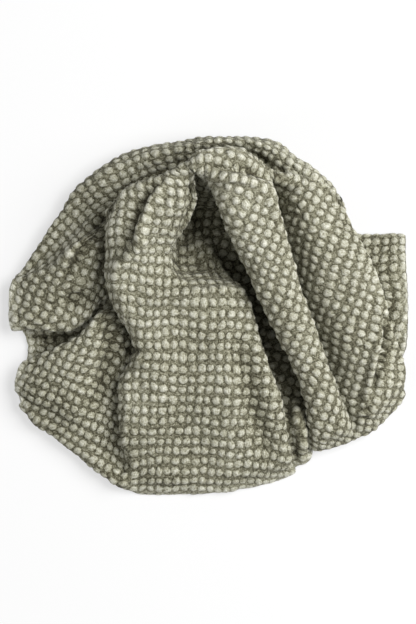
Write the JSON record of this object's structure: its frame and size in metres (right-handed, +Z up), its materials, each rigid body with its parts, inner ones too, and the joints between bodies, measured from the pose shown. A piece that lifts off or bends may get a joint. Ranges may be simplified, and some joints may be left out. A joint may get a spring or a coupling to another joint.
{
  "type": "waffle weave cotton blanket",
  "caption": "Small grey-green blanket of thick waffle weave cotton with narrow turned hems, thrown down in a loose heap of deep rolled folds round a hollow",
  "frame": {"origin": "on the table, under the middle of the heap's outline", "axes": "+X to the right of the heap, along its longest side; +Y to its back; +Z up from the table"},
  "size_m": [0.5574, 0.502, 0.1394],
  "materials": {
    "waffle_cotton": "matte, thick puffy waffle weave of melange grey-green cotton yarn"
  },
  "bodies": {
    "root": {"blanket": "waffle_cotton"}
  },
  "joints": []
}
